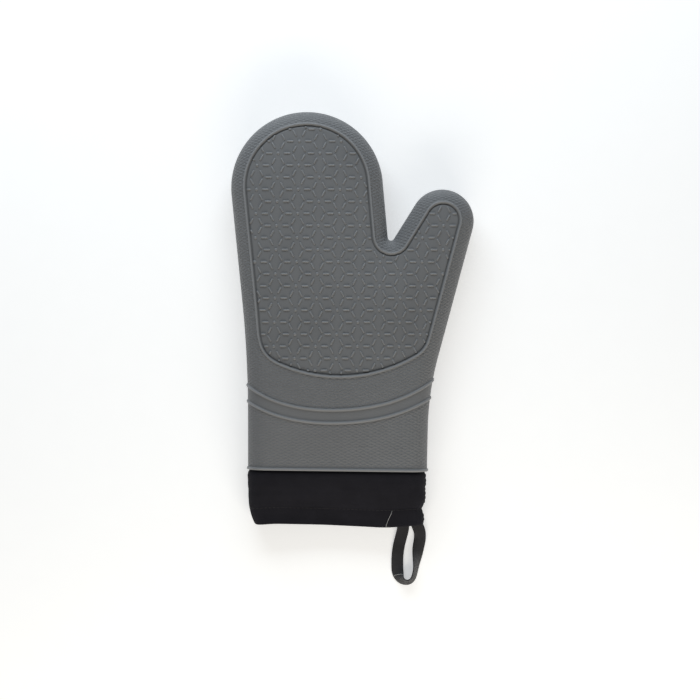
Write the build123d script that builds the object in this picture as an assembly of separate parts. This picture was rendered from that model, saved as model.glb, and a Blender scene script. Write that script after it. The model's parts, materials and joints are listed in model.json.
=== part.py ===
"""Silicone oven mitt with a woven cuff, a quilted lining and a hanging loop.

The mitt lies flat with its palm face up. The fingers point along +Y, the thumb
towards +X and +Z is up. The drawing below is made with the silicone hem on the
X axis and the middle of the thickness at Z = 0. The finished pieces are then
moved so that the origin is the bottom centre of the whole assembly's box.
"""
from build123d import *
import math
import os

# ---------------------------------------------------------------- silhouette
hem_half_width = 71.2
wrist_left = (-71.3, 90.0)
wrist_left_radius = 900.0
wrist_right = (72.5, 62.0)
wrist_right_radius = 240.0
finger_centre = (-24.2, 224.5)
finger_radius = 60.4
finger_tip_side = (0.05, 1)
thumb_centre = (83.3, 198.2)
thumb_radius = 25.1
thumb_tip_side = (0.5, 1)
crotch_corner = (40.7, 177.3)
crotch_radius = 2.6

# ------------------------------------------------------------ silicone shell
mitt_thickness = 32.0
shoulder_radius = 14.5
shell_wall = 2.0
crest_height = 0.9
bead_width = 2.0
border_width = 10.0
field_recess = 0.4
panel_arc_radius = 120.0
panel_arc_centre = (2.0, 193.3)
panel_corner_radius = 30.0
rib_points = [(-86, 81), (-67, 65), (-48, 54.4), (-20, 49.4), (8, 48.7), (37, 52.8), (56, 60), (90, 85)]
rib_spacing = 10.3

# -------------------------------------------------------------- quilted bag
lining_cloth = 0.6
wadding_thickness = 2.6
quilt_pitch = 36.0
quilt_angle = 45.0
stitch_length = 4.4
stitch_pitch = 7.0
stitch_thickness = 0.5
seam_clearance = 0.35

# --------------------------------------------------------------------- cuff
cuff_depth = 44.6
cuff_inset = 0.6
cuff_cloth = 1.2
mouth_thickness = 20.0
mouth_half_width = 70.4
mouth_corner_radius = 9.8
cuff_tuck = 13.0
hem_fold_depth = 13.4
bond_thickness = 0.3
hem_stitch_pitch = 4.0
hem_stitch_length = 2.8

# ------------------------------------------------------------- hanging loop
tape_width = 9.3
tape_thickness = 1.6
left_leg_x = 52.3
right_leg_x = 66.4
loop_drop = 45.4
loop_bow = 4.4
loop_swing_gap = 1.4
sewn_end_depth = 11.0
bartack_pitch = 2.4

# ------------------------------------------------------------ derived values
lining_outer_inset = shell_wall
wadding_inset = lining_outer_inset + lining_cloth
lining_inner_inset = wadding_inset + wadding_thickness
cavity_inset = lining_inner_inset + lining_cloth
tuck_inset = shell_wall + bond_thickness
half_thickness = mitt_thickness / 2
floor_height = -half_thickness - crest_height
mouth_middle = floor_height + mouth_thickness / 2
fold_inset = 2 * cuff_cloth
swing_line = -cuff_depth - loop_swing_gap
tape_middle = floor_height + fold_inset + tape_thickness / 2
wrist_run_on = 100.0
far = 600.0
tolerance = 0.01


def tangent_point(point, centre, radius, side):
    """Where the line from point touches the circle; side is +1 left, -1 right."""
    dx, dy = centre[0] - point[0], centre[1] - point[1]
    distance = math.hypot(dx, dy)
    turn = math.atan2(dy, dx) + side * math.asin(radius / distance)
    reach = math.sqrt(distance ** 2 - radius ** 2)
    return (point[0] + reach * math.cos(turn), point[1] + reach * math.sin(turn))


def arc_between(start, end, centre, radius, direction):
    """The arc of a circle between two points, through the given side of it."""
    length = math.hypot(*direction)
    middle = (centre[0] + radius * direction[0] / length, centre[1] + radius * direction[1] / length)
    return ThreePointArc(start, middle, end)


def silhouette():
    """The outline of the mitt as a flat face, with the wrist carried on below the hem."""
    finger_left = tangent_point(wrist_left, finger_centre, finger_radius, 1)
    finger_right = tangent_point(crotch_corner, finger_centre, finger_radius, -1)
    thumb_left = tangent_point(crotch_corner, thumb_centre, thumb_radius, 1)
    thumb_right = tangent_point(wrist_right, thumb_centre, thumb_radius, -1)
    low_left, low_right = (-hem_half_width, -wrist_run_on), (hem_half_width, -wrist_run_on)
    hem_left, hem_right = (-hem_half_width, 0), (hem_half_width, 0)
    edges = [
        Line(low_left, hem_left),
        Line(hem_left, wrist_left),
        Line(wrist_left, finger_left),
        arc_between(finger_left, finger_right, finger_centre, finger_radius, finger_tip_side),
        Line(finger_right, crotch_corner),
        Line(crotch_corner, thumb_left),
        arc_between(thumb_left, thumb_right, thumb_centre, thumb_radius, thumb_tip_side),
        Line(thumb_right, wrist_right),
        Line(wrist_right, hem_right),
        Line(hem_right, low_right),
        Line(low_right, low_left),
    ]
    face = make_face(edges)
    for place, radius in ((wrist_left, wrist_left_radius), (crotch_corner, crotch_radius),
                          (wrist_right, wrist_right_radius)):
        face = fillet(face.vertices().sort_by_distance((*place, 0))[0], radius)
    return face


outline = silhouette()


def mitt_form(inset):
    """The rounded body of the mitt, shrunk evenly by inset on every side."""
    face = offset(outline, -inset) if inset else outline
    half = mitt_thickness / 2 - inset
    block = extrude(face, half, both=True)
    rims = block.edges().filter_by(lambda edge: abs(abs(edge.center().Z) - half) < tolerance)
    low_end = inset - wrist_run_on + tolerance
    return fillet(rims.filter_by(lambda edge: edge.center().Y > low_end), shoulder_radius - inset)


def slab(low, high):
    """Everything between two heights along the mitt."""
    return Pos(0, (low + high) / 2, 0) * Box(far, high - low, far)


def upper_half():
    """Everything on the palm side of the middle plane."""
    return Pos(0, 0, far / 2) * Box(far, far * 2, far)


def lower_half():
    """Everything on the back side of the middle plane."""
    return Pos(0, 0, -far / 2) * Box(far, far * 2, far)


def column(face):
    """A flat face carried through the whole thickness."""
    return extrude(face, mitt_thickness, both=True)


def panel_face(inset=0.0):
    """The field of each face of the mitt, inside the raised outline bead."""
    field = offset(outline, -border_width) & (Pos(*panel_arc_centre) * Circle(panel_arc_radius))
    field = field.faces().sort_by(Axis.Y)[-1]
    low_corners = field.vertices().filter_by(
        lambda v: abs(math.dist((v.X, v.Y), panel_arc_centre) - panel_arc_radius) < tolerance)
    field = fillet(low_corners, panel_corner_radius)
    return offset(field, -inset) if inset else field


def rib_face(drop):
    """A narrow band that follows the curved wrist line, drop below it."""
    line = offset(Spline(*rib_points), drop, side=Side.RIGHT, closed=False) if drop else Spline(*rib_points)
    return trace(line, bead_width)


forms = {}


def form(inset):
    """Each nested body is built once and used again."""
    key = round(inset, 3)
    if key not in forms:
        forms[key] = mitt_form(inset)
    return forms[key]


def layer(outer, inner, low, high):
    """The cloth or rubber between two nested bodies, along part of the mitt."""
    return (form(outer) - form(inner)) & slab(low, high)


def silicone_shell():
    """One moulded wall with its outline bead, two wrist ribs and rolled hem."""
    crests = form(-crest_height)
    bead_outside, bead_inside = column(panel_face()), column(panel_face(bead_width))
    border = form(0) - bead_outside
    bead = (crests & bead_outside) - bead_inside
    field = form(field_recess) & bead_inside
    body = (border + bead + field) & slab(0, far / 2)
    for drop in (0, rib_spacing):
        body += crests & column(rib_face(drop))
    body += crests & slab(0, bead_width)
    return body - form(shell_wall)


def hem_bond():
    """The ring of silicone adhesive that holds the cuff's tuck inside the shell."""
    return layer(shell_wall, tuck_inset, bead_width / 2, cuff_tuck)


def lining_layer(outer, inner, side):
    """One sheet of the quilted bag: the palm half or the back half."""
    return layer(outer, inner, cuff_tuck, far / 2) & side


def section(width, height, radius, shrink):
    """A flattened oval, shrunk evenly."""
    return RectangleRounded(2 * (width - shrink), height - 2 * shrink, radius - shrink)


def cuff_form(shrink):
    """The tapered cuff: full height at the hem, settled on the floor at its mouth."""
    hem_plane = Plane((0, 0, 0), x_dir=(1, 0, 0), z_dir=(0, -1, 0))
    mouth_plane = Plane((0, -cuff_depth, mouth_middle), x_dir=(1, 0, 0), z_dir=(0, -1, 0))
    hem = section(hem_half_width - cuff_inset, mitt_thickness - 2 * cuff_inset,
                  shoulder_radius - cuff_inset, shrink)
    mouth = section(mouth_half_width, mouth_thickness, mouth_corner_radius, shrink)
    return loft([hem_plane * hem, mouth_plane * mouth], ruled=True)


def cuff_layer(outer, inner, low, high):
    """The cloth between two nested cuff surfaces, along part of the cuff."""
    return (cuff_form(outer) - cuff_form(inner)) & slab(low, high)


def cuff_sleeve():
    """A woven sleeve with its turned-up hem below and its tuck inside the shell."""
    sleeve = cuff_layer(0, cuff_cloth, -cuff_depth, 0)
    step = layer(cuff_inset, tuck_inset + cuff_cloth, -cuff_cloth, 0) & cuff_form(0)
    tuck = layer(tuck_inset, tuck_inset + cuff_cloth, -cuff_cloth / 2, cuff_tuck)
    fold = cuff_layer(cuff_cloth, fold_inset, -cuff_depth, hem_fold_depth - cuff_depth)
    return sleeve + step + tuck + fold


def row(count, pitch, piece):
    """Copies of a piece in an even row along X, centred."""
    return [Pos((step - (count - 1) / 2) * pitch, 0, 0) * piece for step in range(count)]


def raised_stitches(boxes):
    """The parts of the boxes that stand out of the cuff's outer face."""
    thread = cuff_form(-stitch_thickness / 2) - cuff_form(0)
    return Compound(children=[solid for box in boxes for solid in (thread & box).solids()])


def cuff_hem_stitching():
    """One row of stitches round the cuff, through the top edge of its hem fold."""
    count = int(2 * (mouth_half_width - mouth_corner_radius) / hem_stitch_pitch)
    height = hem_fold_depth - cuff_depth - stitch_thickness * 2
    stitch = Pos(0, height, 0) * Box(hem_stitch_length, stitch_thickness, far)
    return raised_stitches(row(count, hem_stitch_pitch, stitch))


def cuff_seam_stitching():
    """Stitches down the thumb side of the cuff, where the sleeve is closed."""
    boxes = []
    for step in range(int(cuff_depth / hem_stitch_pitch) - 1):
        y = -(step + 1) * hem_stitch_pitch
        z = mouth_middle * -y / cuff_depth
        boxes.append(Pos(hem_half_width, y, z) * Box(half_thickness, hem_stitch_length, stitch_thickness))
    return raised_stitches(boxes)


def quilt_stitches(side):
    """Crossed diagonal rows of stitches on the bag's inner cloth."""
    flat_zone = offset(outline, -(shoulder_radius + stitch_length))
    height = side * (half_thickness - cavity_inset - stitch_thickness / 2)
    bar = Box(stitch_length, stitch_thickness, stitch_thickness)
    rows, steps = int(far / 2 / quilt_pitch), int(far / 2 / stitch_pitch)
    stitches = []
    for turn in (Rotation(0, 0, quilt_angle), Rotation(0, 0, -quilt_angle)):
        for line in range(-rows, rows + 1):
            for step in range(-steps, steps + 1):
                along = step * stitch_pitch
                place = turn * Pos(along, (line + 0.5) * quilt_pitch, 0)
                x, y = place.position.X, place.position.Y + finger_centre[1] / 2
                on_crossing = abs((along / quilt_pitch) % 1 - 0.5) * quilt_pitch < stitch_length / 2
                if y > cuff_tuck + stitch_length and not on_crossing and flat_zone.is_inside((x, y, 0)):
                    stitches.append(Pos(x, y, height) * turn * bar)
    return Compound(children=[stitch.solid() for stitch in stitches])


def edge_stitching():
    """The seam that joins the palm and back halves of the bag, seen inside it."""
    inset = cavity_inset + stitch_thickness / 2 + seam_clearance
    path = offset(outline, -inset).face().outer_wire()
    count = int(path.length / stitch_pitch)
    stitches = []
    for step in range(count):
        place = path.location_at(step / count)
        if place.position.Y > cuff_tuck + stitch_length:
            stitches.append(place * Box(stitch_thickness, stitch_thickness, stitch_length))
    return Compound(children=[stitch.solid() for stitch in stitches])


def join_stitching():
    """Stitches that tack the bag's open edge to the cuff's tuck, on both faces."""
    count = int(2 * (hem_half_width - shoulder_radius) / hem_stitch_pitch)
    depth = half_thickness - tuck_inset - cuff_cloth - stitch_thickness / 2
    stitches = []
    for side in (1, -1):
        bar = Box(stitch_thickness, hem_stitch_length, stitch_thickness)
        place = Pos(0, cuff_tuck - hem_stitch_length / 2, side * depth)
        stitches += row(count, hem_stitch_pitch, place * bar)
    return Compound(children=[stitch.solid() for stitch in stitches])


def leg_columns(width):
    """Where the two ends of the loop's tape are held in the cuff's back hem."""
    low = -cuff_depth
    for leg in (left_leg_x, right_leg_x):
        yield Pos(leg, low + sewn_end_depth / 2, floor_height) * Box(width, sewn_end_depth, mitt_thickness)


def loop_sewn_ends():
    """The two ends of the tape, lying inside the back of the cuff's hem."""
    band = cuff_form(fold_inset) - cuff_form(fold_inset + tape_thickness)
    lowest = [(band & leg).solids().sort_by(Axis.Z)[0] for leg in leg_columns(tape_width)]
    return Compound(children=lowest)


def loop_bartacks():
    """Dense short stitches across each sewn end of the tape."""
    band = (cuff_form(fold_inset + tape_thickness)
            - cuff_form(fold_inset + tape_thickness + stitch_thickness))
    tacks = []
    for leg in leg_columns(tape_width - 2 * stitch_thickness):
        for step in range(int(sewn_end_depth / bartack_pitch)):
            y = -cuff_depth + (step + 0.5) * bartack_pitch
            cut = band & leg & slab(y - stitch_thickness / 2, y + stitch_thickness / 2)
            tacks.append(cut.solids().sort_by(Axis.Z)[0])
    return Compound(children=tacks)


def hanging_loop():
    """The free loop of tape below the cuff, bowed out on its left leg."""
    low = swing_line - loop_drop + tape_width / 2
    bend = (right_leg_x - left_leg_x) / 2
    path = Spline(
        (left_leg_x, swing_line), (left_leg_x - loop_bow, swing_line - loop_drop / 2),
        (left_leg_x + bend / 2, low), (right_leg_x - bend / 2, low + bend / 2),
        (right_leg_x, swing_line - loop_drop / 3), (right_leg_x, swing_line),
        tangents=((0, -1), (0, 1)))
    band = trace(path, tape_width)
    solid = extrude(Pos(0, 0, tape_middle) * band, tape_thickness / 2, both=True)
    return solid & slab(-far / 2, swing_line)


def build():
    """Every sub-part by name, in the drawing's place."""
    halves = {"palm": (upper_half(), 1), "back": (lower_half(), -1)}
    parts = {"silicone_shell": silicone_shell(), "hem_bond": hem_bond(), "cuff_sleeve": cuff_sleeve()}
    for name, (side, sign) in halves.items():
        parts["lining_outer_" + name] = lining_layer(lining_outer_inset, wadding_inset, side)
        parts["wadding_" + name] = lining_layer(wadding_inset, lining_inner_inset, side)
        parts["lining_inner_" + name] = lining_layer(lining_inner_inset, cavity_inset, side)
        parts["quilting_" + name] = quilt_stitches(sign)
    parts["lining_edge_stitching"] = edge_stitching()
    parts["lining_join_stitching"] = join_stitching()
    parts["cuff_hem_stitching"] = cuff_hem_stitching()
    parts["cuff_seam_stitching"] = cuff_seam_stitching()
    parts["loop_sewn_ends"] = loop_sewn_ends()
    parts["loop_bartacks"] = loop_bartacks()
    parts["hanging_loop"] = hanging_loop()
    return parts


def to_base(parts):
    """The move that puts the origin at the bottom centre of the whole mitt."""
    boxes = [part.bounding_box() for part in parts.values()]
    low = [min(getattr(box.min, axis) for box in boxes) for axis in "XYZ"]
    high = [max(getattr(box.max, axis) for box in boxes) for axis in "XYZ"]
    return Pos(-(low[0] + high[0]) / 2, -(low[1] + high[1]) / 2, -low[2])


def main():
    """Builds the mitt and writes one file for each sub-part."""
    parts = build()
    move = to_base(parts)
    os.makedirs("parts", exist_ok=True)
    for name, part in parts.items():
        export_step(move * part, f"parts/{name}.step")
    print("origin moved by", move.position)


if __name__ == "__main__":
    main()
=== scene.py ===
import json
import math

import bmesh
import bpy
import numpy as np
from mathutils import Matrix, Vector, geometry, noise


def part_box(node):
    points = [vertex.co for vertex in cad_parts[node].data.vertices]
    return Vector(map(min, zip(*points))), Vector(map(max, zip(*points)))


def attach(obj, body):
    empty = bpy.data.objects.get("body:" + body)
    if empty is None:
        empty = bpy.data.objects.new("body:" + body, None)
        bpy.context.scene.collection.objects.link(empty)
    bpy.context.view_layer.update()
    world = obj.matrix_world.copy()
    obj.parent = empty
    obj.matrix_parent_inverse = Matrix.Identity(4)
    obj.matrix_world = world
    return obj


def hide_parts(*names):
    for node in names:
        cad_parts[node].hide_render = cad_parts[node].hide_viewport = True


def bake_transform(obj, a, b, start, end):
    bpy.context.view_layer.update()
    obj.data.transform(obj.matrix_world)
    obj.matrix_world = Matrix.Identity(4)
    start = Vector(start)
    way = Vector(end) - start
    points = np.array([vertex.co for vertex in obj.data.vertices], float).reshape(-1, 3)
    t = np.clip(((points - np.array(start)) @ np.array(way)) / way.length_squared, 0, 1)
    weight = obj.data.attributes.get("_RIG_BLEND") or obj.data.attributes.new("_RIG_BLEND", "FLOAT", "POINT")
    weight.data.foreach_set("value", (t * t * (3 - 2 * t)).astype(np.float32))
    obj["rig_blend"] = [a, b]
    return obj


bl_info = {
    "name": "Silicone oven mitt",
    "version": (1, 0, 0),
    "blender": (4, 5, 0),
    "location": "3D View > Sidebar > Mitt",
    "description": "Builds a silicone oven mitt with a woven cuff around its fixed frame",
    "category": "Object",
}

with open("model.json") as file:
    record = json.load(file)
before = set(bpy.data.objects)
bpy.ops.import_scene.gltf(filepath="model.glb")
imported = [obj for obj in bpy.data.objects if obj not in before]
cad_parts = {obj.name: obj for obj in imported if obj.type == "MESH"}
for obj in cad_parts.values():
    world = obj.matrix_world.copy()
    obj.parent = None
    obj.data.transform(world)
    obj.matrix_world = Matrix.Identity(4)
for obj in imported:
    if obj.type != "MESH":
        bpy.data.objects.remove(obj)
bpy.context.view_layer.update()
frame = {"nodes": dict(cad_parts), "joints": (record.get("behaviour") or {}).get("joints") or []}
MM = 0.001

# The mitt's drawing: X across the hem, Y from the hem to the fingertips, Z up from the middle plane.
HEM_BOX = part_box("cuff_hem_stitching")
SHELL_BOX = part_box("silicone_shell")
ORIGIN = Vector(((HEM_BOX[0].x + HEM_BOX[1].x) / 2, SHELL_BOX[0].y, (SHELL_BOX[0].z + SHELL_BOX[1].z) / 2))
FLOOR = -ORIGIN.z

HEM_HALF_WIDTH = 71.2 * MM
WRIST_LEFT, WRIST_LEFT_RADIUS = (-71.3 * MM, 90.0 * MM), 900 * MM
WRIST_RIGHT, WRIST_RIGHT_RADIUS = (72.5 * MM, 62.0 * MM), 240 * MM
FINGER_CENTRE, FINGER_RADIUS = (-24.2 * MM, 224.5 * MM), 60.4 * MM
THUMB_CENTRE, THUMB_RADIUS = (83.3 * MM, 198.2 * MM), 25.1 * MM
CROTCH, CROTCH_RADIUS = (40.7 * MM, 177.3 * MM), 2.6 * MM
HALF_THICKNESS = 16.0 * MM
BORDER = 10.0 * MM
PANEL_CENTRE, PANEL_RADIUS, PANEL_CORNER = (2.0 * MM, 193.3 * MM), 120.0 * MM, 19.0 * MM
RIB_POINTS = ((-86, 81), (-67, 65), (-48, 54.4), (-20, 49.4), (8, 48.7), (37, 52.8), (56, 60), (90, 85))
RIB_SPACING = 10.3 * MM
TAIL = 30.0 * MM
CUFF_DEPTH = 44.6 * MM
WEAVE_ROUND = 310.0 * MM
CUFF_HALF_HEIGHT, CUFF_SETTLE = 15.6, 6.6
CUFF_CORNER, CUFF_CORNER_SETTLE = 14.0, 5.6
HEM_SEAM = 31.0
HEM_TILT = 0.0125
LINE_STEP = 1.5 * MM
FIELD_SPACING = 3.2 * MM
LINING_SPACING = 3.0 * MM
VIEW_WIDTH, VIEW_MIDDLE = 557.9 * MM, (9.96 * MM, 95.6 * MM)


class MittSizes(bpy.types.PropertyGroup):
    """Sizes of the moulded and sewn details."""
    shoulder: bpy.props.FloatProperty(name="Shoulder", description="Radius of the mitt's rounded rim",
                                      default=14.5 * MM, unit="LENGTH")
    crown: bpy.props.FloatProperty(name="Crown", description="How far the palm swells above its rim",
                                   default=2.2 * MM, unit="LENGTH")
    wall: bpy.props.FloatProperty(name="Wall", description="Thickness of the silicone",
                                  default=2.0 * MM, unit="LENGTH")
    bead: bpy.props.FloatProperty(name="Bead", description="Width of the raised beads and ribs",
                                  default=2.3 * MM, unit="LENGTH")
    crest: bpy.props.FloatProperty(name="Crest", description="Height of the raised beads and ribs",
                                   default=1.05 * MM, unit="LENGTH")
    recess: bpy.props.FloatProperty(name="Recess", description="How far each field lies below the border",
                                    default=0.45 * MM, unit="LENGTH")
    relief: bpy.props.FloatProperty(name="Relief", description="Height of the grip's dashes and dots",
                                    default=0.85 * MM, unit="LENGTH")
    node_pitch: bpy.props.FloatProperty(name="Star pitch", description="Distance between neighbouring stars",
                                        default=19.0 * MM, unit="LENGTH")
    cloth: bpy.props.FloatProperty(name="Cloth", description="Thickness of the cuff's cloth",
                                   default=0.9 * MM, unit="LENGTH")
    quilt: bpy.props.FloatProperty(name="Quilt pitch", description="Distance between quilting rows",
                                   default=36.0 * MM, unit="LENGTH")
    tape: bpy.props.FloatProperty(name="Tape", description="Width of the loop's tape",
                                  default=9.6 * MM, unit="LENGTH")


class MittColours(bpy.types.PropertyGroup):
    """Colours of the finishes."""
    silicone: bpy.props.FloatVectorProperty(name="Silicone", description="Moulded silicone", subtype="COLOR",
                                            size=4, default=(0.196, 0.199, 0.205, 1))
    cloth: bpy.props.FloatVectorProperty(name="Cuff cloth", description="Woven cuff", subtype="COLOR",
                                         size=4, default=(0.0205, 0.0200, 0.0260, 1))
    lining: bpy.props.FloatVectorProperty(name="Lining", description="Quilted lining", subtype="COLOR",
                                          size=4, default=(0.060, 0.060, 0.064, 1))
    tape: bpy.props.FloatVectorProperty(name="Loop tape", description="Woven tape", subtype="COLOR",
                                        size=4, default=(0.060, 0.0590, 0.0640, 1))
    thread: bpy.props.FloatVectorProperty(name="Thread", description="Sewing thread", subtype="COLOR",
                                          size=4, default=(0.020, 0.020, 0.023, 1))
    loose_thread: bpy.props.FloatVectorProperty(name="Loose thread", description="Pale thread end",
                                                subtype="COLOR", size=4, default=(0.50, 0.50, 0.50, 1))


def sizes():
    """The sizes that the operators work from."""
    return bpy.context.scene.mitt_sizes


# ------------------------------------------------------------------ flat drawing
def tangent_point(point, centre, radius, side):
    """Where the line from a point touches a circle, on its left (1) or right (-1)."""
    dx, dy = centre[0] - point[0], centre[1] - point[1]
    distance = math.hypot(dx, dy)
    turn = math.atan2(dy, dx) + side * math.asin(radius / distance)
    reach = math.sqrt(distance ** 2 - radius ** 2)
    return point[0] + reach * math.cos(turn), point[1] + reach * math.sin(turn)


def arc(centre, radius, start, end, count):
    """Points on a circle, clockwise from one point to another."""
    first = math.atan2(start[1] - centre[1], start[0] - centre[0])
    last = math.atan2(end[1] - centre[1], end[0] - centre[0])
    if last > first:
        last -= 2 * math.pi
    angles = np.linspace(first, last, count)
    return np.column_stack((centre[0] + radius * np.cos(angles), centre[1] + radius * np.sin(angles)))


def rounded(before, corner, after, radius, count=16):
    """Points of the arc that rounds a corner between two straight runs."""
    before, corner, after = (np.array(p, float) for p in (before, corner, after))
    a = (before - corner) / np.linalg.norm(before - corner)
    b = (after - corner) / np.linalg.norm(after - corner)
    half = math.acos(float(np.clip(a @ b, -1, 1))) / 2
    reach = radius / math.tan(half)
    middle = corner + (a + b) / np.linalg.norm(a + b) * radius / math.sin(half)
    start, end = corner + a * reach - middle, corner + b * reach - middle
    turn = math.atan2(start[0] * end[1] - start[1] * end[0], start @ end)
    angles = math.atan2(start[1], start[0]) + np.linspace(0, turn, count)
    return middle + radius * np.column_stack((np.cos(angles), np.sin(angles)))


def run_lengths(line):
    """How far along a line each of its points is."""
    return np.concatenate(([0], np.cumsum(np.linalg.norm(np.diff(line, axis=0), axis=1))))


def resample(line, step):
    """The same line with evenly spaced points."""
    lengths = run_lengths(line)
    places = np.linspace(0, lengths[-1], max(2, round(lengths[-1] / step) + 1))
    return np.column_stack([np.interp(places, lengths, line[:, i]) for i in (0, 1)])


def silhouette(step):
    """The mitt's outline from the left of the wrist over the fingers and thumb to the right of the wrist."""
    finger_left = tangent_point(WRIST_LEFT, FINGER_CENTRE, FINGER_RADIUS, 1)
    finger_right = tangent_point(CROTCH, FINGER_CENTRE, FINGER_RADIUS, -1)
    thumb_left = tangent_point(CROTCH, THUMB_CENTRE, THUMB_RADIUS, 1)
    thumb_right = tangent_point(WRIST_RIGHT, THUMB_CENTRE, THUMB_RADIUS, -1)
    hem_left, hem_right = (-HEM_HALF_WIDTH, 0), (HEM_HALF_WIDTH, 0)
    runs = [
        [(-HEM_HALF_WIDTH, -TAIL), hem_left],
        rounded(hem_left, WRIST_LEFT, finger_left, WRIST_LEFT_RADIUS),
        arc(FINGER_CENTRE, FINGER_RADIUS, finger_left, finger_right, 160),
        rounded(finger_right, CROTCH, thumb_left, CROTCH_RADIUS),
        arc(THUMB_CENTRE, THUMB_RADIUS, thumb_left, thumb_right, 80),
        rounded(thumb_right, WRIST_RIGHT, hem_right, WRIST_RIGHT_RADIUS),
        [hem_right, (HEM_HALF_WIDTH, -TAIL)],
    ]
    return resample(np.vstack(runs), step)


def offset_line(line, distance, closed=False):
    """A line moved sideways to its right, with each point along its own normal."""
    if closed:
        along = np.roll(line, -1, 0) - np.roll(line, 1, 0)
    else:
        along = np.gradient(line, axis=0)
    along /= np.linalg.norm(along, axis=1)[:, None]
    return line + distance * np.column_stack((along[:, 1], -along[:, 0]))


def nearest(points, line):
    """For each point, its distance to a line, the unit way towards it and the line's own normal there."""
    start, span = line[:-1], np.diff(line, axis=0)
    squares = (span ** 2).sum(1)
    distance, way, normal = np.empty(len(points)), np.empty((len(points), 2)), np.empty((len(points), 2))
    for first in range(0, len(points), 2000):
        part = points[first:first + 2000]
        share = ((part[:, None] - start) * span).sum(2) / squares
        gap = start + np.clip(share, 0, 1)[..., None] * span - part[:, None]
        reach = (gap ** 2).sum(2)
        best = reach.argmin(1)
        rows = np.arange(len(part))
        distance[first:first + 2000] = np.sqrt(reach[rows, best])
        way[first:first + 2000] = gap[rows, best]
        side = span[best] / np.sqrt(squares[best])[:, None]
        normal[first:first + 2000] = np.column_stack((-side[:, 1], side[:, 0]))
    return distance, way, normal


def inside(points, loop):
    """Which points lie inside a closed loop."""
    a, b = loop, np.roll(loop, -1, 0)
    hits = np.zeros(len(points), int)
    for (ax, ay), (bx, by) in zip(a, b):
        if ay == by:
            continue
        crosses = (ay > points[:, 1]) != (by > points[:, 1])
        at = ax + (points[:, 1] - ay) * (bx - ax) / (by - ay)
        hits += crosses & (points[:, 0] < at)
    return hits % 2 == 1


def panel_outline():
    """The closed outline of each relief field: the border line, closed below by a wide arc."""
    border = offset_line(silhouette(0.75 * MM), BORDER)
    reach = np.hypot(border[:, 0] - PANEL_CENTRE[0], border[:, 1] - PANEL_CENTRE[1])
    kept = border[reach < PANEL_RADIUS]
    closing = arc(PANEL_CENTRE, PANEL_RADIUS, kept[-1], kept[0], 160)
    cut = round(PANEL_CORNER / (0.75 * MM))
    kept = kept[cut:-cut * 2 // 3]
    closing = resample(closing, 0.75 * MM)[cut * 2 // 3:-cut]

    def corner(one, two):
        """A smooth corner between the end of one run and the start of the next."""
        gap = np.linalg.norm(two[0] - one[-1]) * 0.42
        ways = [(one[-1] - one[-3]), (two[0] - two[2])]
        handles = [end + way / np.linalg.norm(way) * gap for end, way in zip((one[-1], two[0]), ways)]
        t = np.linspace(0, 1, 24)[1:-1, None]
        return ((1 - t) ** 3 * one[-1] + 3 * (1 - t) ** 2 * t * handles[0]
                + 3 * (1 - t) * t ** 2 * handles[1] + t ** 3 * two[0])

    loop = np.vstack((kept, corner(kept, closing), closing, corner(closing, kept), kept[:1]))
    return resample(loop, LINE_STEP)[:-1]


def rib_line(drop):
    """The curved line of a wrist rib, reaching a little past both sides."""
    x, y = np.array(RIB_POINTS).T
    across = np.linspace(-86, 84, 240)
    line = np.column_stack((across, np.polyval(np.polyfit(x, y, 4), across))) * MM
    return resample(offset_line(line, drop), LINE_STEP)


EDGE = silhouette(1.0 * MM)
PANEL = panel_outline()
PANEL_LINE = np.vstack((PANEL, PANEL[:1]))
RIBS = [rib_line(0), rib_line(RIB_SPACING)]


# ------------------------------------------------------------- rounded surface
def smoothstep(value):
    """An even ramp from 0 to 1 with soft ends."""
    value = np.clip(value, 0, 1)
    return value * value * (3 - 2 * value)


def swell(plan, depth, side):
    """How far the face stands above its flat form: a crown on the palm, little on the back."""
    hand = smoothstep(plan[:, 1] / (70 * MM))
    body = smoothstep((depth - 4 * MM) / (44 * MM))
    waves = np.array([noise.noise(Vector((x * 22, y * 16, side * 3.0))) for x, y in plan])
    amount = sizes().crown if side > 0 else 0.0
    return amount * hand * body + (0.35 * MM if side > 0 else 0.0) * waves * smoothstep(depth / (20 * MM))


def skin(plan, rise, side):
    """Places points of the flat drawing on one face of the mitt, raised along its normal."""
    radius = sizes().shoulder
    depth, way, normal = nearest(plan, EDGE)
    depth = np.where(depth < 0.03 * MM, 0, depth)
    outward = np.where((depth > 0.5 * MM)[:, None], way / np.maximum(depth, 1e-9)[:, None], normal)
    level = np.clip((radius - depth) / radius, 0, 1)
    lift = np.sqrt(1 - level ** 2)
    height = HALF_THICKNESS - radius + radius * lift + rise * lift + swell(plan, depth, side)
    flat = plan + outward * (rise * level)[:, None]
    unrolled = plan + outward * np.where(
        level > 0, radius * (np.arccos(np.clip(lift, -1, 1)) - level), 0)[:, None]
    return np.column_stack((flat, side * height)), unrolled


def ridge(distance, width):
    """The rounded cross-section of a moulded bead, 1 at its crest and 0 past its feet."""
    return np.clip(1 - (2 * distance / width) ** 2, 0, 1) ** 0.6


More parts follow.
